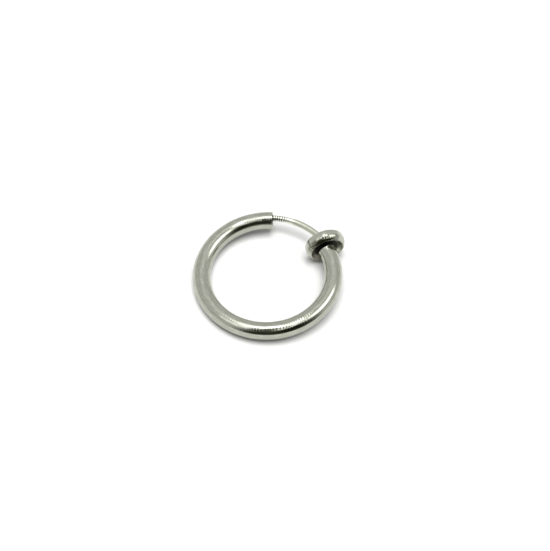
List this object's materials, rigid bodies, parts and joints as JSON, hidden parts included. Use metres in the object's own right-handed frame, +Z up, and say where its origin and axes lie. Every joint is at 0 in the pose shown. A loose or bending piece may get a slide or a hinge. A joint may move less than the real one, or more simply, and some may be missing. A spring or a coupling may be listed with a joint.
{
  "type": "clip-on fake piercing ring",
  "caption": "Sprung clip-on hoop of thin steel tube that looks like a piercing ring, with a sliding wire that carries a dished cap over the tube's tip.",
  "frame": {"origin": "on the floor that the hoop lies on, straight under the centre of the hoop", "axes": "+Z up from the floor, -Y towards the viewer of the picture, +X to the picture's right; the hoop lies on its side and the tube's mouth faces +X at its far side"},
  "size_m": [0.0131, 0.013, 0.0036],
  "materials": {
    "tube_steel": "polished steel tube with faint bending ripples",
    "wire_steel": "bright drawn steel wire, faintly ribbed near the mouth",
    "cap_steel": "mirror-polished turned steel"
  },
  "bodies": {
    "hoop": {"hoop_tube": "tube_steel"},
    "slider": {"slide_wire": "wire_steel", "end_cap": "cap_steel"}
  },
  "joints": [
    {"name": "cap_slide", "type": "hinge", "parent": "hoop", "child": "slider", "pos_m": [0, 0, 0.00127], "axis": [-0.0746, -0.0449, 0.9962], "range_deg": [0, 44], "stiffness_Nm_per_rad": 0.004, "springref_deg": -34.38}
  ]
}
